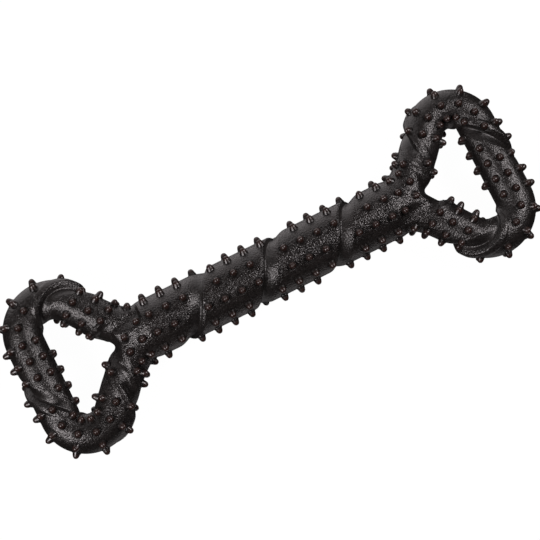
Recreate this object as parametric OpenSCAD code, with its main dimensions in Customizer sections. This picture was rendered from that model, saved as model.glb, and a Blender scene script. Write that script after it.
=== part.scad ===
// Rubber chew toy: a twisted bar with a triangular tug loop at each end, and
// rounded nubs all over it. The bar lies along X, the loops lie flat in the XY
// plane, and the origin is the middle of the bar. +Z is up, sizes are in mm.
// Turning the toy half a turn about Z brings it back onto itself.

/* [Bar] */
// Length of the twisted bar between its two yokes
bar_length = 164; // [120:1:240]
// Diameter of the bar without its nubs
bar_d = 35.6; // [28:0.2:48]

/* [Twist] */
// How far the groove moves along the bar in one turn
groove_pitch = 50; // [40:1:80]
// Width of the groove along the bar and the loops
groove_w = 13; // [8:0.5:16]
// Depth of the groove
groove_depth = 3; // [1:0.1:3.6]
// Height of the moulded strand beside the groove on the loops
strand_h = 0.8; // [0.2:0.1:1.2]

/* [Loops] */
// Distance from a bar end to the centreline of a loop's outer side
loop_reach = 68.8; // [62:0.2:90]
// Diameter of the loop tube without its nubs
loop_d = 23.6; // [18:0.2:28]
// Straight length of the outer side, between its two corners
side_length = 48.3; // [40:0.1:70]
// Centreline radius of the tight outer corner, where arm A ends
corner_a_r = 16.8; // [16:0.1:22]
// Centreline radius of the wide outer corner, where arm B starts
corner_b_r = 18.7; // [16:0.1:22]
// Distance from a bar end to the point where the two arms would cross
apex_reach = 9.1; // [8:0.1:12]
// How far that point lies beside the bar's axis
apex_offset = 1; // [0:0.1:4]
// Distance from a bar end to the middle of the round notch inside the fork
notch_reach = 24.8; // [23:0.1:28]
// How far the notch lies beside the bar's axis
notch_offset = -0.4; // [-2:0.1:2]
// Diameter of the notch
notch_d = 7; // [5:0.1:9]
// Length of each arm, from that point where they cross, that belongs to the yoke
yoke_arm = 28; // [26:0.5:32]

/* [Nubs] */
// Diameter of a nub at its foot
nub_d = 4.7; // [3.5:0.1:6]
// Height of a nub above the rubber round it
nub_h = 3.8; // [2.5:0.1:5]
// Radius of a nub's rounded tip
nub_tip_r = 1.35; // [0.8:0.05:1.6]
// Distance between nubs along the bar
bar_cell = 11; // [9:0.5:15]
// Rows of nubs round the bar
bar_rows = 10; // [6:1:12]
// Distance between nubs along a loop's centreline
loop_cell = 10.4; // [9:0.1:15]
// Rows of nubs round a loop's tube
loop_rows = 9; // [6:1:10]

/* [Hidden] */

rubber_colour = "#2b2827";
nub_colour = "#4a2a24";

bar_half = bar_length / 2;
bar_r = bar_d / 2;
loop_r = loop_d / 2;
side_x = bar_half + loop_reach;
apex = [bar_half + apex_reach, apex_offset];

// Rings along the swept tubes, and points round each ring
ring_step = 2.3;
bar_sides = 28;
loop_sides = 24;
yoke_sides = 28;

// The groove is steep on one side and eases back over the rest of its width
groove_edge_share = 0.16;
groove_tail_share = 0.74;
groove_foot = groove_w * (groove_tail_share - groove_edge_share) / 2;
strand_w_share = 0.3;

// Where the loop's groove crosses the inner and the outer side in turn, as
// shares of the run from the apex round the loop and back to the apex. The
// first crossing is on the inner side, a turn and a quarter before the front.
groove_run_shares = [0.034, 0.167, 0.363, 0.51, 0.668, 0.794, 0.9, 1.015];
groove_first_angle = -450;
half_turn_angle = 180;
full_turn_angle = 2 * half_turn_angle;

// Headings in degrees, counter-clockwise from +X, and lengths of the arms.
// A loop is followed clockwise: out along arm A, round corner A, down the
// outer side, round corner B and back along arm B.
corner_a = [side_x - corner_a_r, side_length / 2];
corner_b = [side_x - corner_b_r, -side_length / 2];
span_a = norm(corner_a - apex);
span_b = norm(corner_b - apex);
arm_a_length = sqrt(pow(span_a, 2) - pow(corner_a_r, 2));
arm_b_length = sqrt(pow(span_b, 2) - pow(corner_b_r, 2));
heading_a = atan2(corner_a.y - apex.y, corner_a.x - apex.x) + asin(corner_a_r / span_a);
heading_b = atan2(apex.y - corner_b.y, apex.x - corner_b.x) - asin(corner_b_r / span_b) - full_turn_angle;
turn_a = heading_a + 90;
turn_b = -90 - heading_b;
arc_a_length = corner_a_r * turn_a * PI / 180;
arc_b_length = corner_b_r * turn_b * PI / 180;

// Runs at which the stretches of a loop begin
run_arc_a = arm_a_length;
run_side = run_arc_a + arc_a_length;
run_arc_b = run_side + side_length;
run_arm_b = run_arc_b + arc_b_length;
run_end = run_arm_b + arm_b_length;
run_middle = run_side + side_length / 2;

function along(heading) = [cos(heading), sin(heading)];
function left_of(heading) = [-sin(heading), cos(heading)];
function ease(t) = t * t * (3 - 2 * t);
function clamp_share(t) = max(0, min(1, t));

// Centreline of a loop at a run from the apex: [x, y, heading]
function on_arc(centre, radius, heading) =
    let (p = centre + radius * left_of(heading)) [p.x, p.y, heading];
function on_line(start, heading, run) =
    let (p = start + run * along(heading)) [p.x, p.y, heading];
function loop_point(run) =
    run < run_arc_a ? on_line(apex, heading_a, run)
    : run < run_side ? on_arc(corner_a, corner_a_r, heading_a - turn_a * (run - run_arc_a) / arc_a_length)
    : run < run_arc_b ? on_line([side_x, side_length / 2], -90, run - run_side)
    : run < run_arm_b ? on_arc(corner_b, corner_b_r, -90 - turn_b * (run - run_arc_b) / arc_b_length)
    : on_line(apex, heading_b, run - run_end);

// A point of the rubber's surface: angle 0 faces +Z, 90 faces away from the hole
function skin_point(place, radius, angle) =
    let (side = left_of(place[2]) * sin(angle) * radius)
    [place.x + side.x, place.y + side.y, radius * cos(angle)];

// How deep the groove is at a distance past its steep edge, as a share
function groove_share(past) =
    past < 0 ? ease(clamp_share(1 + past / (groove_w * groove_edge_share)))
    : ease(clamp_share(1 - past / (groove_w * groove_tail_share)));
function strand_share(past) =
    ease(clamp_share(1 - abs(past / (groove_w * strand_w_share) + 1)));

// Groove of the bar: one turn for each pitch, counted from +Z towards +Y. Its
// steep side faces the middle of the bar, and changes over in the turn before it.
function bar_groove_x(turn) = groove_pitch * turn;
function bar_cut(x, turn) =
    let (
        past = x - bar_groove_x(turn),
        steep_left = ease(clamp_share(turn + 1))
    )
    steep_left * groove_share(groove_foot + past) + (1 - steep_left) * groove_share(groove_foot - past);
bar_turns = ceil(bar_half / groove_pitch) + 1;
function bar_skin_r(x, angle) =
    let (turn = wrapped(angle) / full_turn_angle)
    bar_r - groove_depth * max([for (n = [-bar_turns:bar_turns]) bar_cut(x, turn + n)]);

// Groove of a loop: its place for an angle counted on from crossing to crossing
groove_table = [
    for (i = [0:len(groove_run_shares) - 1])
        [groove_first_angle + half_turn_angle * i, groove_run_shares[i] * run_end]
];
turn_table = [for (row = groove_table) [row[1], row[0]]];
function groove_run(turn) = lookup(turn, groove_table);
function groove_angle(run) = lookup(run, turn_table);
function wrapped(angle) = angle - full_turn_angle * floor((angle + half_turn_angle) / full_turn_angle);
function groove_turns(angle) = [for (n = [-1:2]) wrapped(angle) + full_turn_angle * n];
function past_groove(run, turn) =
    groove_foot + (run - groove_run(turn)) * (turn < -half_turn_angle ? -1 : 1);
function loop_skin_r(run, angle) =
    let (
        turns = groove_turns(angle),
        cuts = [for (turn = turns) groove_share(past_groove(run, turn))],
        ridges = [for (turn = turns) strand_share(past_groove(run, turn))]
    ) loop_r - groove_depth * max(cuts) + strand_h * max(ridges);

// A closed tube through rings of points, all rings with as many points. Each
// patch between two rings is split along its shorter diagonal.
module swept(rings) {
    sides = len(rings[0]);
    last = len(rings) - 1;
    points = [for (ring = rings) each ring];
    walls = [
        for (i = [0:last - 1], j = [0:sides - 1])
            let (
                a = i * sides + j,
                b = i * sides + (j + 1) % sides
            )
            each norm(points[b + sides] - points[a]) < norm(points[a + sides] - points[b])
                ? [[a, b, b + sides], [a, b + sides, a + sides]]
                : [[a, b, a + sides], [b, b + sides, a + sides]]
    ];
    near_cap = [for (j = [sides - 1:-1:0]) j];
    far_cap = [for (j = [0:sides - 1]) last * sides + j];
    polyhedron(points = points, faces = concat([near_cap], walls, [far_cap]));
}

// The lines of points along the bar and the loops follow the groove
module bar_body() {
    steps = round(bar_length / ring_step);
    color(rubber_colour)
        swept([
            for (i = [0:steps])
                let (x = bar_half - bar_length * i / steps)
                [
                    for (j = [0:bar_sides - 1])
                        let (
                            angle = full_turn_angle * (j / bar_sides + x / groove_pitch),
                            r = bar_skin_r(x, angle)
                        )
                        [x, r * sin(angle), r * cos(angle)]
                ]
        ]);
}

module loop_body() {
    run_from = yoke_arm;
    run_to = run_end - yoke_arm;
    steps = round((run_to - run_from) / ring_step);
    color(rubber_colour)
        swept([
            for (i = [0:steps])
                let (run = run_from + (run_to - run_from) * i / steps)
                [
                    for (j = [0:loop_sides - 1])
                        let (angle = full_turn_angle * j / loop_sides + groove_angle(run))
                        skin_point(loop_point(run), loop_skin_r(run, angle), angle)
                ]
        ]);
}

// The yoke: from the bar's end face, one tapering branch bends into each arm.
// A branch follows a curve through the point where its arm meets the bar's axis.
branch_steps = 7;
branch_taper_share = 0.69;
disc_h = 0.3;
function branch_heading(which) = which == "a" ? heading_a : heading_b + half_turn_angle;
bend_back_share = 0.08;
function branch_bend(which) =
    [apex.x - apex.y / tan(branch_heading(which)) - apex_reach * bend_back_share, 0];
function branch_end(which) = apex + yoke_arm * along(branch_heading(which));
function branch_place(which, t) =
    let (
        start = [bar_half, 0],
        bend = branch_bend(which),
        end = branch_end(which),
        p = pow(1 - t, 2) * start + 2 * t * (1 - t) * bend + pow(t, 2) * end,
        d = (1 - t) * (bend - start) + t * (end - bend)
    ) [p.x, p.y, atan2(d.y, d.x)];
function branch_r(t) = bar_r + (loop_r - bar_r) * ease(pow(t, branch_taper_share));

// Angle 90 faces out of the fork on both branches
function branch_skin(which, t, angle, lift = 0) =
    skin_point(branch_place(which, t), branch_r(t) + lift, which == "a" ? angle : -angle);

module branch_disc(which, i) {
    t = i / branch_steps;
    place = branch_place(which, t);
    back = i == 0 ? 0 : i == branch_steps ? disc_h : disc_h / 2;
    translate([place.x, place.y, 0])
        rotate([0, 90, place[2]])
            translate([0, 0, -back])
                cylinder(h = disc_h, r = branch_r(t), $fn = yoke_sides);
}

module branch(which) {
    for (i = [0:branch_steps - 1])
        hull() {
            branch_disc(which, i);
            branch_disc(which, i + 1);
        }
}

// Grooves across the yoke, cut by a round cutter that follows its skin from
// spot to spot: [share of the branch, angle]
cutter_r = groove_w / 2;
cutter_steps = 9;
cutter_sides = 12;
notch_sides = 20;
cut_depth_share = 0.7;
cut_a_shares = [[0.5, -95], [0.8, -28], [0.88, 5], [1.08, 60]];
cut_b_shares = [[0.74, -95], [0.79, -25], [0.5, 22], [0.02, 60]];
function spot_value(spots, step, which) =
    lookup(
        step * (len(spots) - 1) / cutter_steps,
        [for (i = [0:len(spots) - 1]) [i, spots[i][which]]]
    );
module branch_groove(which, spots) {
    lift = cutter_r - groove_depth * cut_depth_share;
    for (i = [0:cutter_steps - 1])
        hull()
            for (k = [i, i + 1])
                translate(branch_skin(which, spot_value(spots, k, 0), spot_value(spots, k, 1), lift))
                    sphere(r = cutter_r, $fn = cutter_sides);
}

// The yoke ends flat, where the bar begins, and its fork ends in a round notch
module yoke_body() {
    color(rubber_colour)
        difference() {
            union() {
                branch("a");
                branch("b");
            }
            branch_groove("a", cut_a_shares);
            branch_groove("b", cut_b_shares);
            translate([bar_half - bar_r, 0, 0])
                cube([bar_d, 2 * bar_d, 2 * bar_d], center = true);
            translate([bar_half + notch_reach, notch_offset, 0])
                cylinder(h = 2 * bar_d, d = notch_d, center = true, $fn = notch_sides);
        }
}

// One nub standing on its foot: a cone with a round tip and a small flare
nub_foot_share = 0.12;
nub_neck_share = 0.86;
nub_sink = 0.25;
nub_sides = 24;
module nub() {
    foot_z = nub_h * nub_foot_share;
    tip_z = nub_h - nub_tip_r;
    translate([0, 0, -nub_sink])
        rotate_extrude($fn = nub_sides)
            intersection() {
                translate([0, nub_sink]) {
                    polygon([
                        [0, -nub_sink], [nub_d / 2, -nub_sink], [nub_d / 2, 0],
                        [nub_d / 2 * nub_neck_share, foot_z], [nub_tip_r, tip_z], [0, tip_z]
                    ]);
                    translate([0, tip_z])
                        circle(r = nub_tip_r, $fn = nub_sides);
                }
                square([nub_d, nub_sink + nub_h]);
            }
}

// Stands a nub on the skin at a centreline place: angle as in skin_point
module nub_at(place, radius, angle) {
    translate([place.x, place.y, 0])
        rotate([0, 0, place[2]])
            rotate([-angle, 0, 0])
                translate([0, 0, radius])
                    nub();
}

module bar_nub_set() {
    columns = floor((bar_half - nub_d / 2) / bar_cell);
    color(nub_colour)
        for (row = [0:bar_rows - 1]) {
            angle = wrapped((row + 0.5) * full_turn_angle / bar_rows);
            turn = angle / full_turn_angle;
            union()
                for (k = [-columns:columns]) {
                    x = k * bar_cell;
                    gaps = [for (n = [-bar_turns:bar_turns]) abs(x - bar_groove_x(turn + n))];
                    if (min(gaps) >= bar_cell / 2)
                        nub_at([x, 0, 0], bar_r, angle);
                }
        }
}

// Nubs of a loop stand in straight rows, at stations counted from the middle
// of the outer side
row_start_angle = 4;
station_shift_share = 0.18;
first_station = ceil((yoke_arm + nub_d / 2 - run_middle) / loop_cell - station_shift_share);
last_station = floor((run_end - yoke_arm - nub_d / 2 - run_middle) / loop_cell - station_shift_share);
function station_run(k) = run_middle + (k + station_shift_share) * loop_cell;

// The smooth zone of the groove is wider where it rounds the inner corner
corner_turn_angles = [216, 450];
corner_clear = 11.4;
corner_clear_swing = 10.5;
function clear_of_groove(run, angle) =
    min([
        for (turn = groove_turns(angle))
            abs(run - groove_run(turn)) - (
                turn > corner_turn_angles[0] && turn < corner_turn_angles[1]
                ? corner_clear - corner_clear_swing * sin(angle)
                : loop_cell / 2
            )
    ]) >= 0;

// Inside a corner only as many nubs stand as their feet and tips have room for
nub_gap = 0.5;
function corner_r_at(run) =
    run > run_arc_a && run < run_side ? corner_a_r
    : run > run_arc_b && run < run_arm_b ? corner_b_r
    : 0;
function nub_room(radius, angle, cells) =
    let (shrink = cells * loop_cell / radius)
    min(
        (radius + loop_r * sin(angle)) * shrink - nub_d,
        (radius + (loop_r + nub_h) * sin(angle)) * shrink - 2 * nub_tip_r
    );
function has_room(run, angle, k) =
    let (radius = corner_r_at(run))
    radius == 0 || nub_room(radius, angle, 1) >= nub_gap
    || (k % 2 == 0 && nub_room(radius, angle, 2) >= nub_gap);

module loop_nub_set() {
    color(nub_colour)
        for (row = [0:loop_rows - 1], k = [first_station:last_station]) {
            run = station_run(k);
            angle = wrapped(row * full_turn_angle / loop_rows + row_start_angle);
            if (clear_of_groove(run, angle) && has_room(run, angle, k))
                nub_at(loop_point(run), loop_skin_r(run, angle), angle);
        }
}

// Nubs of the yoke, chosen one by one: [share of the branch, angle]. Those
// of the front stand again on the back, without those on the outline.
outline_angle = 80;
yoke_nub_a_shares = [
    [0.12, -22], [0.34, 12], [0.53, 50], [0.61, 98],
    [0.47, -26], [0.63, 0], [0.69, 36], [0.82, 62],
    [0.83, 34], [0.94, 88], [0.87, -62], [0.93, -32]
];
yoke_nub_b_shares = [[0.61, 62], [0.87, -6], [0.84, 32], [0.82, 64], [0.93, -62]];
module yoke_nub_row(which, shares) {
    for (spot = shares, back = [false, true])
        if (!back || abs(spot[1]) < outline_angle) {
            angle = back ? half_turn_angle - spot[1] : spot[1];
            nub_at(branch_place(which, spot[0]), branch_r(spot[0]), which == "a" ? angle : -angle);
        }
}

module yoke_nub_set() {
    color(nub_colour) {
        yoke_nub_row("a", yoke_nub_a_shares);
        yoke_nub_row("b", yoke_nub_b_shares);
    }
}

// The left end is the right end turned round
module turned_round() {
    rotate([0, 0, half_turn_angle])
        children();
}

bar_body();  // twisted_bar
turned_round() yoke_body();  // left_yoke
yoke_body();  // right_yoke
turned_round() loop_body();  // left_loop
loop_body();  // right_loop
bar_nub_set();  // bar_nubs
turned_round() yoke_nub_set();  // left_yoke_nubs
yoke_nub_set();  // right_yoke_nubs
turned_round() loop_nub_set();  // left_loop_nubs
loop_nub_set();  // right_loop_nubs
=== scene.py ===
import math

import bmesh
import bpy
import numpy as np
from mathutils import Matrix, Vector
from mathutils.bvhtree import BVHTree
from mathutils.kdtree import KDTree


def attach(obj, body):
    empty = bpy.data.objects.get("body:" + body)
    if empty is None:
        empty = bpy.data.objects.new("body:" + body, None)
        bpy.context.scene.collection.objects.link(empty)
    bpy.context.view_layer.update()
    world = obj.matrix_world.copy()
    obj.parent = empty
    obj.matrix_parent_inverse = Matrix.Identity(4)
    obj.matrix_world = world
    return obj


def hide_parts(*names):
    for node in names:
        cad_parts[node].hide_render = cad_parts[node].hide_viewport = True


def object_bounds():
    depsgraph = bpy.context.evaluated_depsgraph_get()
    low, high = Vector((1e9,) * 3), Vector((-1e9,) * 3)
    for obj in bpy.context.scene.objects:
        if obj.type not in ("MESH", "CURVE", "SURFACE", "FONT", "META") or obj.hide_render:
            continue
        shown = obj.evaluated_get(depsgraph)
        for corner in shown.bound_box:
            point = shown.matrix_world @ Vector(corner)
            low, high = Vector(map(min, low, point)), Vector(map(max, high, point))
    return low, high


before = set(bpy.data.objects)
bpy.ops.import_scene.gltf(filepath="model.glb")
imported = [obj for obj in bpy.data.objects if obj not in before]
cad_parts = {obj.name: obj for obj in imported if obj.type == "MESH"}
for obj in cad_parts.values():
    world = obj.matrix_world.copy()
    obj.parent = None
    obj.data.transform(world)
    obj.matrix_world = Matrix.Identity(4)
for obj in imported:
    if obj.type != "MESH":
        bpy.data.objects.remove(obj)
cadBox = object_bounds()
mm = 0.001


def say(stage):
    print("scene:", stage, flush=True)


def onlySelect(*objs):
    bpy.ops.object.select_all(action="DESELECT")
    for obj in objs:
        obj.select_set(True)
    bpy.context.view_layer.objects.active = objs[0]


def addSmooth(obj, times):
    smooth = obj.modifiers.new("smooth", "SMOOTH")
    smooth.factor = 0.5
    smooth.iterations = times


def applyModifiers(obj):
    onlySelect(obj)
    for modifier in list(obj.modifiers):
        bpy.ops.object.modifier_apply(modifier=modifier.name)


def linkedCopy(obj):
    copy = obj.copy()
    copy.data = obj.data.copy()
    bpy.context.scene.collection.objects.link(copy)
    return copy


def cadCopy(nodeName):
    # a loose copy of a CAD node, its doubles merged, for a piece that will stand for it
    copy = linkedCopy(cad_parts[nodeName])
    copy.name = nodeName + "_copy"
    copy.parent = None
    copy.matrix_world = Matrix()
    onlySelect(copy)
    bpy.ops.object.mode_set(mode="EDIT")
    bpy.ops.mesh.select_all(action="SELECT")
    bpy.ops.mesh.remove_doubles(threshold=0.01 * mm)
    bpy.ops.object.mode_set(mode="OBJECT")
    return copy


# angles in degrees and shifts in mm, as fitted to the photograph's outline
camSet = dict(away=0.9, lens=100.25, roll=26.66, tiltX=-6.5, tiltY=3.83, shiftX=0.66, shiftY=0.68)


def addCamera(s):
    turn = Matrix.Identity(3)
    for angle, axis in ((s["roll"], "Z"), (s["tiltX"], "X"), (s["tiltY"], "Y")):
        turn = turn @ Matrix.Rotation(math.radians(angle), 3, axis)
    back = turn.transposed()
    bpy.ops.object.camera_add(location=back @ Vector((-s["shiftX"] * mm, -s["shiftY"] * mm, s["away"])))
    cam = bpy.context.object
    cam.name = "photoCamera"
    cam.rotation_euler = back.to_euler()
    cam.data.lens = s["lens"]
    cam.data.sensor_width = 36
    cam.data.clip_end = 20
    bpy.context.scene.camera = cam


addCamera(camSet)
say("camera")


class Wire:
    # a shader value that takes + - and *
    def __init__(self, shade, socket):
        self.shade = shade
        self.socket = socket

    def maths(self, operation, first, second):
        return self.shade.node("ShaderNodeMath", {"operation": operation}, {0: first, 1: second})

    def __add__(self, other):
        return self.maths("ADD", self, other)

    def __radd__(self, other):
        return self.maths("ADD", other, self)

    def __sub__(self, other):
        return self.maths("SUBTRACT", self, other)

    def __rsub__(self, other):
        return self.maths("SUBTRACT", other, self)

    def __mul__(self, other):
        return self.maths("MULTIPLY", self, other)

    def __rmul__(self, other):
        return self.maths("MULTIPLY", other, self)

    def ramp(self, low, high, start=0.0, end=1.0):
        sockets = {"Value": self, "From Min": low, "From Max": high, "To Min": start, "To Max": end}
        return self.shade.node("ShaderNodeMapRange", {"interpolation_type": "SMOOTHSTEP"}, sockets)


class Shade:
    # one material: its nodes, and its shader's sockets
    def __init__(self, name):
        self.mat = bpy.data.materials.new(name)
        self.mat.use_nodes = True
        self.tree = self.mat.node_tree
        self.skin = self.tree.nodes["Principled BSDF"]
        self.place = self.node("ShaderNodeTexCoord", out="Object")

    def fill(self, node, sockets):
        for key, value in sockets.items():
            if isinstance(value, Wire):
                self.tree.links.new(value.socket, node.inputs[key])
            else:
                node.inputs[key].default_value = value

    def node(self, kind, settings=None, sockets=None, out=0):
        node = self.tree.nodes.new(kind)
        for key, value in (settings or {}).items():
            setattr(node, key, value)
        self.fill(node, sockets or {})
        return Wire(self, node.outputs[out])

    def noise(self, scale, detail=2.0):
        sockets = {"Vector": self.place, "Scale": scale, "Detail": detail}
        return self.node("ShaderNodeTexNoise", None, sockets)

    def cells(self, scale):
        return self.node("ShaderNodeTexVoronoi", None, {"Vector": self.place, "Scale": scale}, "Distance")

    def attribute(self, name):
        return self.node("ShaderNodeAttribute", {"attribute_name": name}, None, "Fac")

    def mix(self, factor, first, second):
        # 0, 6 and 7 are the node's factor and two colours, and 2 is the colour that it gives
        return self.node("ShaderNodeMix", {"data_type": "RGBA"}, {0: factor, 6: first, 7: second}, 2)

    def bump(self, height, distance, under=None):
        sockets = {"Height": height, "Distance": distance, "Strength": 1.0}
        if under:
            sockets["Normal"] = under
        return self.node("ShaderNodeBump", None, sockets, "Normal")

    def plug(self, sockets):
        self.fill(self.skin, sockets)


# the moulding's form, in mm and degrees
tubeSet = dict(
    barHalf=82.0, barR=17.8,
    # the right loop's tube: its two corners, and the apex where its arms meet inside the fork
    loopR=11.8, loopReach=68.8, sideLength=48.3, cornerR=(16.8, 18.7),
    apexReach=9.1, apexOffset=1.0, step=0.25,
    # the groove's section: a short steep edge and a long easy one, as shares of its width
    grooveW=13.0, grooveDeep=3.1, edgeShare=0.16, tailShare=0.74,
    frontShare=0.68, innerShare=0.5,  # of its depth, on the faces of the bar and towards the holes
    # its route: mm a turn on the bar, and shares of the loop's run, half a turn from one to the next
    pitch=50.0, barTurns=range(-3, 4),
    crossings=(0.034, 0.167, 0.363, 0.51, 0.69, 0.838, 0.92, 1.015),
    firstTurn=-450.0, flipTurn=-180.0, loopTurns=range(-1, 3),
    # the raised strand beside the loop's groove
    strandPast=-5.4, strandHalf=4.2, strandHigh=1.5, strandSteep=1.7, strandInner=0.3,
)


def eased(t):
    t = np.clip(t, 0.0, 1.0)
    return t * t * (3 - 2 * t)


def grooveShare(past, s):
    # how much of the groove's depth counts so many mm past its deepest line
    steep = eased(1 + past / (s["grooveW"] * s["edgeShare"]))
    easy = eased(1 - past / (s["grooveW"] * s["tailShare"]))
    return np.where(past < 0, steep, easy)


def strandShare(past, s):
    return eased((1 - np.abs(past - s["strandPast"]) / s["strandHalf"]) * s["strandSteep"])


def grooveMiddle(s):
    # from the groove's deepest line to the middle of its width
    return s["grooveW"] * (s["tailShare"] - s["edgeShare"]) / 2


def nearestPast(pasts, s):
    # picks the turn of the groove that is nearest to each point
    pasts = np.array(pasts)
    nearest = np.abs(pasts - grooveMiddle(s)).argmin(axis=0)
    return np.take_along_axis(pasts, nearest[None], 0)[0]


def barSkin(x, angle, s):
    # the bar's radius, how much of the groove cuts it, and how far past the deepest line it is
    middle = grooveMiddle(s)
    cuts, pasts = [], []
    for n in s["barTurns"]:
        turn = angle / 360 + n
        aside = x - s["pitch"] * turn
        steepLeft = eased(turn + 1)  # the steep edge changes sides over one turn
        left, right = grooveShare(middle + aside, s), grooveShare(middle - aside, s)
        cuts.append(steepLeft * left + (1 - steepLeft) * right)
        pasts.append(np.where(steepLeft > 0.5, middle + aside, middle - aside))
    cut = np.max(cuts, axis=0)
    flank = np.sin(np.radians(angle)) ** 2  # 0 on the two faces, 1 at the sides
    deep = s["grooveDeep"] * (s["frontShare"] + (1 - s["frontShare"]) * flank)
    return s["barR"] - deep * cut, cut, nearestPast(pasts, s)


def loopLine(s):
    # the right loop's centre line from the apex and back: run, place, way to its outer side, length
    cornerAr, cornerBr = s["cornerR"]
    sideX = s["barHalf"] + s["loopReach"]
    apex = np.array([s["barHalf"] + s["apexReach"], s["apexOffset"]])
    cornerA = np.array([sideX - cornerAr, s["sideLength"] / 2])
    cornerB = np.array([sideX - cornerBr, -s["sideLength"] / 2])
    toA, toB = cornerA - apex, apex - cornerB
    spanA, spanB = np.hypot(*toA), np.hypot(*toB)
    armA, armB = math.sqrt(spanA ** 2 - cornerAr ** 2), math.sqrt(spanB ** 2 - cornerBr ** 2)
    headA = math.atan2(toA[1], toA[0]) + math.asin(cornerAr / spanA)
    headB = math.atan2(toB[1], toB[0]) - math.asin(cornerBr / spanB) - 2 * math.pi
    headSide = -math.pi / 2
    turnA, turnB = headA - headSide, headSide - headB
    starts = np.cumsum([0, armA, cornerAr * turnA, s["sideLength"], cornerBr * turnB, armB])
    run = np.arange(0.0, starts[-1], s["step"])
    heading = np.interp(run, starts, [headA, headA, headSide, headSide, headB, headB])
    way = np.stack([np.cos(heading), np.sin(heading)], 1)
    place = apex + np.vstack([[0, 0], np.cumsum((way[1:] + way[:-1]) / 2 * s["step"], axis=0)])
    return run, place, np.stack([-np.sin(heading), np.cos(heading)], 1), starts[-1]


def loopSkin(run, angle, runEnd, s):
    # the same for the loop's tube, with the strand beside its groove
    turns = [s["firstTurn"] + 180 * k for k in range(len(s["crossings"]))]
    routes = [share * runEnd for share in s["crossings"]]
    pasts = []
    for n in s["loopTurns"]:
        turn = angle + 360 * n
        steepWay = np.where(turn < s["flipTurn"], -1, 1)  # the steep edge changes sides at the flip turn
        pasts.append(grooveMiddle(s) + (run - np.interp(turn, turns, routes)) * steepWay)
    outer = (1 + np.sin(np.radians(angle))) / 2  # 1 away from the hole, 0 towards it
    cut = np.max([grooveShare(past, s) for past in pasts], axis=0)
    cut *= s["innerShare"] + (1 - s["innerShare"]) * outer
    strand = np.max([strandShare(past, s) for past in pasts], axis=0)
    strand *= s["strandInner"] + (1 - s["strandInner"]) * outer
    radius = s["loopR"] - s["grooveDeep"] * cut + s["strandHigh"] * strand
    return radius, cut, nearestPast(pasts, s)


def looseShells(mesh):
    # the vertices of each loose part of a mesh
    bm = bmesh.new()
    bm.from_mesh(mesh)
    seen = set()
    shells = []
    for start in bm.verts:
        if start.index in seen:
            continue
        seen.add(start.index)
        todo = [start]
        shell = []
        while todo:
            vert = todo.pop()
            shell.append(tuple(vert.co))
            for edge in vert.link_edges:
                other = edge.other_vert(vert)
                if other.index not in seen:
                    seen.add(other.index)
                    todo.append(other)
        shells.append(np.array(shell))
    bm.free()
    return shells


def nubPlace(spots):
    # a nub's foot and direction: its axis is the one of its three whose spread differs most
    middle = spots.mean(axis=0)
    spreads, axes = np.linalg.eigh(np.cov((spots - middle).T))
    way = axes[:, 2] if abs(spreads[2] - spreads[1]) > abs(spreads[1] - spreads[0]) else axes[:, 0]
    high = (spots - middle) @ way
    wide = np.linalg.norm(spots - middle - np.outer(high, way), axis=1)
    top, bottom = high > np.percentile(high, 80), high < np.percentile(high, 20)
    if wide[top].mean() > wide[bottom].mean():  # the tip is the narrower end
        way, high = -way, -high
    return Vector(middle + way * high.min()), Vector(way)


def nubPlaces(nodeName):
    copy = cadCopy(nodeName)
    places = [nubPlace(spots) for spots in looseShells(copy.data)]
    bpy.data.objects.remove(copy, do_unlink=True)
    return places


nubNodes = ("bar_nubs", "left_yoke_nubs", "right_yoke_nubs", "left_loop_nubs", "right_loop_nubs")
nubSpots = {name: nubPlaces(name) for name in nubNodes}
say("nub places " + str(sum(len(spots) for spots in nubSpots.values())))


rubberSet = dict(
    dark=(0.0038, 0.0031, 0.0029, 1), pale=(0.0115, 0.0095, 0.0090, 1),
    toneMix=(0.6, 0.4), toneSpan=(0.38, 0.62), creasePaintedShade=0.45, ringPaintedShade=0.8,
    rough=(0.22, 0.38), roughScale=720.0, roughSpan=(0.35, 0.65), smoothRough=0.46,
    pebbleScale=900.0, crumbScale=1170.0, grainMix=(0.7, 0.8), grainLeft=0.2, grainDeep=0.34 * mm,
    cloudScale=70.0, cloudDetail=3.0, cloudDeep=0.5 * mm, creaseDeep=0.3 * mm,
)


def blackRubber(s):
    shade = Shade("blackRubber")
    land = shade.attribute("land")  # 1 on the grained lands, less in the smooth grooves
    crease = shade.attribute("crease")  # 1 along the edges of the grooves, where the colour gets painted shade
    ring = shade.attribute("ring")  # 1 at the foot of each nub, where the colour gets painted shade and the grain is left out
    pebble = 1 - shade.cells(s["pebbleScale"])
    crumb = shade.noise(s["crumbScale"])
    cloud = shade.noise(s["cloudScale"], s["cloudDetail"])
    grain = pebble * s["grainMix"][0] + crumb * s["grainMix"][1]
    grain = grain * (land * (1 - s["grainLeft"]) + s["grainLeft"])
    tone = (crumb * s["toneMix"][0] + cloud * s["toneMix"][1]).ramp(*s["toneSpan"])
    # painted shade: the colour darkened along the creases at the grooves' edges and at the foot of each nub
    tone = tone * (1 - crease * s["creasePaintedShade"]) * (1 - ring * s["ringPaintedShade"])
    rough = shade.noise(s["roughScale"], 1.0).ramp(*s["roughSpan"], *s["rough"])
    waves = shade.bump(cloud, s["cloudDeep"])
    creases = shade.bump(1 - crease, s["creaseDeep"], waves)
    shade.plug({
        "Base Color": shade.mix(tone, s["dark"], s["pale"]),
        "Roughness": land * rough + (1 - land) * s["smoothRough"],
        "Normal": shade.bump(grain, s["grainDeep"], creases),
    })
    return shade.mat


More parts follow.
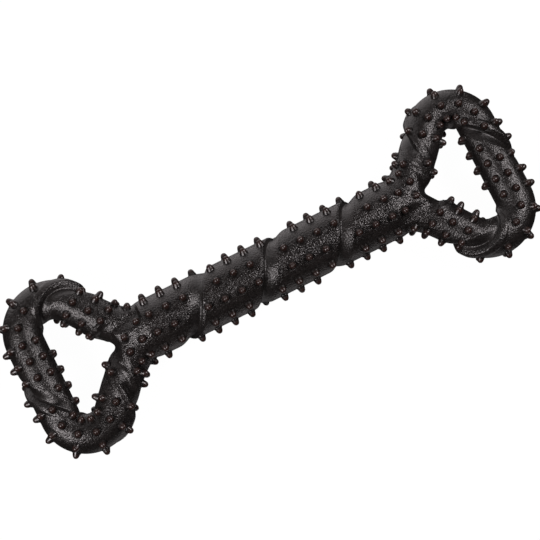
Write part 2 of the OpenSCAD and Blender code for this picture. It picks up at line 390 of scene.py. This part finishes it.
# lengths in mm
bodySet = dict(
    pieces=("twisted_bar", "left_yoke", "right_yoke", "left_loop", "right_loop"),
    # plain cores in the arms, by their runs from the apex, and the cells and smoothing of the skin
    coreR=9.3, coreRuns=(8.0, 26.0), coreSides=48, voxel=0.88, softTimes=4, yokeSoft=24,
    # how far off the grooved form the skin is still drawn onto it, and where along the tubes
    barGrab=1.6, barGrabFade=0.8, loopGrab=4.6, loopGrabFade=0.5,
    barOver=2.0, loopFrom=10.0, yokeRun=26.0, forkRun=17.0, endFade=4.0,
    # the past given where no groove is, and the crease lines at the grooves' edges, bumped in and darkened
    # with painted shade
    noGroove=-99.0, creaseW=0.9, tailCrease=9.6, tailCreaseShare=0.6,
    # the grain: weaker in grooves and bends, towards the mould's parting line and on the loops
    grooveSmooth=0.48, smoothAt=0.6, bendTimes=40, bendFrom=0.1, bendSpan=0.45,
    flankGrain=0.3, flankFrom=0.05, flankSpan=0.35, loopGrain=0.68, loopGrainFrom=12.0, loopGrainSpan=14.0,
    # the ring of painted shade, without grain, at each nub's foot: full out to the first distance and gone
    # at the second
    ringIn=2.4, ringOut=3.2,
)


def vertexPlaces(mesh):
    flat = np.empty(len(mesh.vertices) * 3)
    mesh.vertices.foreach_get("co", flat)
    return flat.reshape(-1, 3)


def setPlaces(obj, places):
    obj.data.vertices.foreach_set("co", places.ravel())
    obj.data.update()


def softened(obj, times):
    # where the vertices of an object would lie after smoothing
    copy = linkedCopy(obj)
    addSmooth(copy, times)
    applyModifiers(copy)
    places = vertexPlaces(copy.data)
    bpy.data.objects.remove(copy, do_unlink=True)
    return places


def barForm(places, s, tube):
    # which vertices are the bar's, their places on its skin, the groove there, and how far they go
    barEnd = tube["barHalf"] + s["barOver"]
    inBar = np.nonzero(np.abs(places[:, 0]) < barEnd)[0]
    x, y, z = places[inBar].T
    barR, cut, past = barSkin(x, np.degrees(np.arctan2(y, z)), tube)
    r = np.hypot(y, z)
    near = eased((s["barGrab"] - np.abs(r - barR)) / s["barGrabFade"])
    near *= eased((barEnd - np.abs(x)) / s["endFade"])
    return inBar, np.stack([x, y * barR / r, z * barR / r], 1), cut, past, near


def loopForm(places, s, tube):
    # the same for the two loops
    run, line, outWay, runEnd = loopLine(tube)
    tree = KDTree(len(line))
    for k, spot in enumerate(line):
        tree.insert((spot[0], spot[1], 0), k)
    tree.balance()
    inLoop = np.nonzero(np.abs(places[:, 0]) > tube["barHalf"] + s["loopFrom"])[0]
    side = np.sign(places[inLoop, 0])
    halfTurn = np.stack([side, side, np.ones(len(side))], 1)  # takes the left loop onto the right one
    spots = places[inLoop] * halfTurn
    nearest = np.array([tree.find((spot[0], spot[1], 0))[1] for spot in spots])
    run, line, outWay = run[nearest], line[nearest], outWay[nearest]
    out = ((spots[:, :2] - line) * outWay).sum(axis=1)
    r = np.hypot(out, spots[:, 2])
    loopR, cut, past = loopSkin(run, np.degrees(np.arctan2(out, spots[:, 2])), runEnd, tube)
    fromApex = np.minimum(run, runEnd - run)
    near = eased((s["loopGrab"] - np.abs(r - loopR)) / s["loopGrabFade"])
    near *= eased((fromApex - s["yokeRun"]) / s["endFade"])
    sunk = eased((loopR - r) / s["loopGrabFade"])  # beside the fork only what lies too deep
    sunk *= eased((fromApex - s["forkRun"]) / s["endFade"])
    spots[:, :2] += outWay * (out * (loopR / r - 1))[:, None]
    spots[:, 2] *= loopR / r
    return inLoop, spots * halfTurn, cut, past, np.maximum(near, sunk)


def sharpen(body, s, tube):
    # draws the skin of the bar and the loops onto their grooved form, and returns for each vertex
    # how deep in a groove it lies, how near to a crease, and how far it was drawn
    places = vertexPlaces(body.data) / mm
    cut = np.zeros(len(places))
    past = np.full(len(places), s["noGroove"])
    onSkin = np.zeros(len(places))
    for form in (barForm, loopForm):
        which, target, formCut, formPast, near = form(places, s, tube)
        cut[which], past[which], onSkin[which] = formCut, formPast, near
        places[which] += (target - places[which]) * near[:, None]
    setPlaces(body, places * mm)
    edge = tube["grooveW"] * tube["edgeShare"]
    steepLine = 1 - eased(np.abs(past + edge) / s["creaseW"])
    tailLine = 1 - eased(np.abs(past - s["tailCrease"]) / s["creaseW"])
    return cut * onSkin, np.maximum(steepLine, s["tailCreaseShare"] * tailLine) * onSkin, onSkin


def addCore(start, end, s):
    along = (end - start) * mm
    middle = (start + end) / 2 * mm
    turn = along.to_track_quat("Z", "Y").to_euler()
    bpy.ops.mesh.primitive_cylinder_add(
        vertices=s["coreSides"], radius=s["coreR"] * mm, depth=along.length, location=middle, rotation=turn)
    return bpy.context.object


def joinPieces(s):
    # the CAD's five pieces as one closed skin; the cores fill their deep groove beside the forks
    copies = [cadCopy(name) for name in s["pieces"]]
    line = [Vector((spot[0], spot[1], 0)) for spot in loopLine(tubeSet)[1]]
    near, far = [int(run / tubeSet["step"]) for run in s["coreRuns"]]
    for side in (1, -1):
        copies.append(addCore(line[near] * side, line[far] * side, s))
        copies.append(addCore(line[-near] * side, line[-far] * side, s))
    onlySelect(*copies)
    bpy.ops.object.join()
    body = bpy.context.object
    body.name = "rubberBody"
    remesh = body.modifiers.new("remesh", "REMESH")
    remesh.mode = "VOXEL"
    remesh.voxel_size = s["voxel"] * mm
    addSmooth(body, s["softTimes"])
    applyModifiers(body)
    return body


def grained(body, cut, onSkin, s):
    # how grained each vertex is
    places = vertexPlaces(body.data)
    normals = np.array([tuple(v.normal) for v in body.data.vertices])
    hollow = ((softened(body, s["bendTimes"]) - places) * normals).sum(axis=1) / mm
    bend = eased((hollow - s["bendFrom"]) / s["bendSpan"]) * (1 - onSkin)
    smooth = eased(np.maximum(cut, bend) / s["smoothAt"]) * s["grooveSmooth"]
    facing = eased((np.abs(normals[:, 2]) - s["flankFrom"]) / s["flankSpan"])
    flank = s["flankGrain"] + (1 - s["flankGrain"]) * facing
    alongX = np.abs(places[:, 0]) / mm - tubeSet["barHalf"] - s["loopGrainFrom"]
    onLoop = 1 - (1 - s["loopGrain"]) * eased(alongX / s["loopGrainSpan"])
    return (1 - smooth) * flank * onLoop


def ringed(body, feet, s):
    # 1 at the foot of each nub, 0 away from it: the ring of painted shade, without grain
    tree = KDTree(len(feet))
    for k, foot in enumerate(feet):
        tree.insert(foot, k)
    tree.balance()
    off = np.array([tree.find(place)[2] for place in vertexPlaces(body.data)]) / mm
    return 1 - eased((off - s["ringIn"]) / (s["ringOut"] - s["ringIn"]))


def makeBody(s, feet):
    body = joinPieces(s)
    rounded = softened(body, s["yokeSoft"])
    cut, crease, onSkin = sharpen(body, s, tubeSet)
    places = vertexPlaces(body.data)
    setPlaces(body, places + (rounded - places) * (1 - onSkin)[:, None])  # round edges in the yokes
    ring = ringed(body, feet, s)
    land = grained(body, cut, onSkin, s) * (1 - ring)
    for name, values in (("land", land), ("crease", crease), ("ring", ring)):
        body.data.attributes.new(name, "FLOAT", "POINT").data.foreach_set("value", values)
    onlySelect(body)
    bpy.ops.object.shade_smooth()
    body.data.materials.clear()
    body.data.materials.append(blackRubber(rubberSet))
    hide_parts(*s["pieces"])
    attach(body, "root")
    return body


body = makeBody(bodySet, [foot for name in nubNodes for foot, way in nubSpots[name]])
say("body " + str(len(body.data.polygons)) + " faces")


# the nubs' colours: painted shade at the foot, where a nub meets the skin, and the nub's own brown at its
# tip
nubShadeSet = dict(
    foot=(0.005, 0.0038, 0.0035, 1), tip=(0.018, 0.0078, 0.0058, 1), footShadeSpan=(0.05, 0.75),
    cloudScale=500.0, cloudSpan=(0.3, 0.7), cloudBase=0.6, cloudTone=0.7,
    rough=(0.28, 0.40), grainScale=1400.0, grainDeep=0.05 * mm,
)


def nubRubber(s):
    shade = Shade("nubRubber")
    cloud = shade.noise(s["cloudScale"])
    rise = shade.attribute("rise")  # 0 at a nub's foot, 1 at its tip
    # painted shade at the foot fades into the tip's brown up the nub, with random clouds in the tone
    tone = rise.ramp(*s["footShadeSpan"]) * (s["cloudBase"] + cloud * s["cloudTone"])
    shade.plug({
        "Base Color": shade.mix(tone, s["foot"], s["tip"]),
        "Roughness": cloud.ramp(*s["cloudSpan"], *s["rough"]),
        "Normal": shade.bump(shade.noise(s["grainScale"]), s["grainDeep"]),
    })
    return shade.mat


# in mm: rings of radius and height from the root under the skin upwards, the tip's height, how deep
# the CAD's nubs are rooted, and how far above its foot a ray starts that looks for the finished skin
nubSet = dict(
    sides=10, rings=((2.8, -0.7), (2.65, 0.1), (2.32, 0.6), (2.1, 1.6), (1.6, 2.75), (0.88, 3.4)), tip=3.6,
    sink=0.25, probe=6.0,
)


def makeNub(s):
    firstR, firstZ = s["rings"][0]
    bpy.ops.object.select_all(action="DESELECT")
    bpy.ops.mesh.primitive_circle_add(
        vertices=s["sides"], radius=firstR * mm, fill_type="NGON", location=(0, 0, firstZ * mm))
    nub = bpy.context.object
    nub.name = "nubPattern"
    bpy.ops.object.transform_apply(location=True, rotation=True, scale=True)
    bpy.ops.object.mode_set(mode="EDIT")
    bpy.ops.mesh.select_mode(type="FACE")
    bpy.ops.mesh.select_all(action="SELECT")
    for (lastR, lastZ), (r, z) in zip(s["rings"], s["rings"][1:]):
        bpy.ops.mesh.extrude_region_move(TRANSFORM_OT_translate={"value": (0, 0, (z - lastZ) * mm)})
        bpy.ops.transform.resize(value=(r / lastR, r / lastR, 1))
    toTip = s["tip"] - s["rings"][-1][1]
    bpy.ops.mesh.extrude_region_move(TRANSFORM_OT_translate={"value": (0, 0, toTip * mm)})
    bpy.ops.mesh.merge(type="CENTER")
    bpy.ops.mesh.select_all(action="SELECT")
    bpy.ops.mesh.normals_make_consistent(inside=False)
    bpy.ops.object.mode_set(mode="OBJECT")
    bpy.ops.object.shade_smooth()
    rise = np.clip(vertexPlaces(nub.data)[:, 2] / (s["tip"] * mm), 0, 1)
    nub.data.attributes.new("rise", "FLOAT", "POINT").data.foreach_set("value", rise)
    return nub


def makeNubSet(pattern, nodeName, mat, skin, s):
    probe = s["probe"] * mm
    copies = []
    for foot, way in nubSpots[nodeName]:
        down = skin.ray_cast(foot + way * probe, -way, 2 * probe)[3]  # to the finished skin
        lift = probe - down if down else s["sink"] * mm
        copy = linkedCopy(pattern)
        turn = way.to_track_quat("Z", "Y").to_matrix().to_4x4()
        copy.matrix_world = Matrix.Translation(foot + way * lift) @ turn
        copies.append(copy)
    onlySelect(*copies)
    bpy.ops.object.join()
    bpy.ops.object.transform_apply(location=True, rotation=True, scale=True)
    nubs = bpy.context.object
    nubs.name = nodeName + "_rubber"
    nubs.data.materials.clear()
    nubs.data.materials.append(mat)
    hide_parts(nodeName)
    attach(nubs, "root")
    say(nodeName + " " + str(len(copies)))


pattern = makeNub(nubSet)
nubMat = nubRubber(nubShadeSet)
bodySkin = BVHTree.FromObject(body, bpy.context.evaluated_depsgraph_get())
for nodeName in nubNodes:
    makeNubSet(pattern, nodeName, nubMat, bodySkin, nubSet)
bpy.data.objects.remove(pattern, do_unlink=True)


floorSet = dict(size=6, below=0.2 * mm, base=(0.03, 0.03, 0.03, 1), glow=0.985)


def addFloor(s):
    bpy.ops.mesh.primitive_plane_add(size=s["size"], location=(0, 0, cadBox[0][2] - s["below"]))
    floor = bpy.context.object
    floor.name = "floor"
    shade = Shade("paleFloor")
    shade.plug({
        "Base Color": s["base"],
        "Roughness": 1.0,
        "Specular IOR Level": 0.0,
        "Emission Color": (1, 1, 1, 1),
        "Emission Strength": s["glow"],
    })
    floor.data.materials.append(shade.mat)
    floor.visible_diffuse = False
    floor.visible_glossy = False
    floor.visible_shadow = False  # the panels stand partly below the toy's own level


addFloor(floorSet)

# a box light at each end, and a panel behind and in front;
# their ways are in the toy's own frame: along it, across it, up from the floor
lightSet = dict(
    away=1.2, colour=(1.0, 0.93, 0.94), world=0.03,
    panels=dict(
        leftBox=dict(way=(-0.70, -0.16, 0.69), size=0.45, power=12),
        rightBox=dict(way=(0.66, 0.02, 0.75), size=0.45, power=11),
        backPanel=dict(way=(0.0, 1.0, -0.15), size=2.2, power=14),
        frontPanel=dict(way=(0.0, -1.0, -0.9), size=1.0, power=1.2),
    ),
)


def addLight(name, panel, s):
    way = Vector(panel["way"]).normalized()
    bpy.ops.object.light_add(type="AREA", location=way * s["away"])
    light = bpy.context.object
    light.name = name
    light.rotation_euler = way.to_track_quat("Z", "Y").to_euler()
    light.data.shape = "DISK"
    light.data.size = panel["size"]
    light.data.energy = panel["power"]
    light.data.color = s["colour"]


def addWorld(s):
    world = bpy.data.worlds.new("studio")
    bpy.context.scene.world = world
    world.use_nodes = True
    background = world.node_tree.nodes["Background"]
    background.inputs["Color"].default_value = (1, 1, 1, 1)
    background.inputs["Strength"].default_value = s["world"]


for name, panel in lightSet["panels"].items():
    addLight(name, panel, lightSet)
addWorld(lightSet)
bpy.context.scene.view_settings.view_transform = "Standard"
say("floor and light")
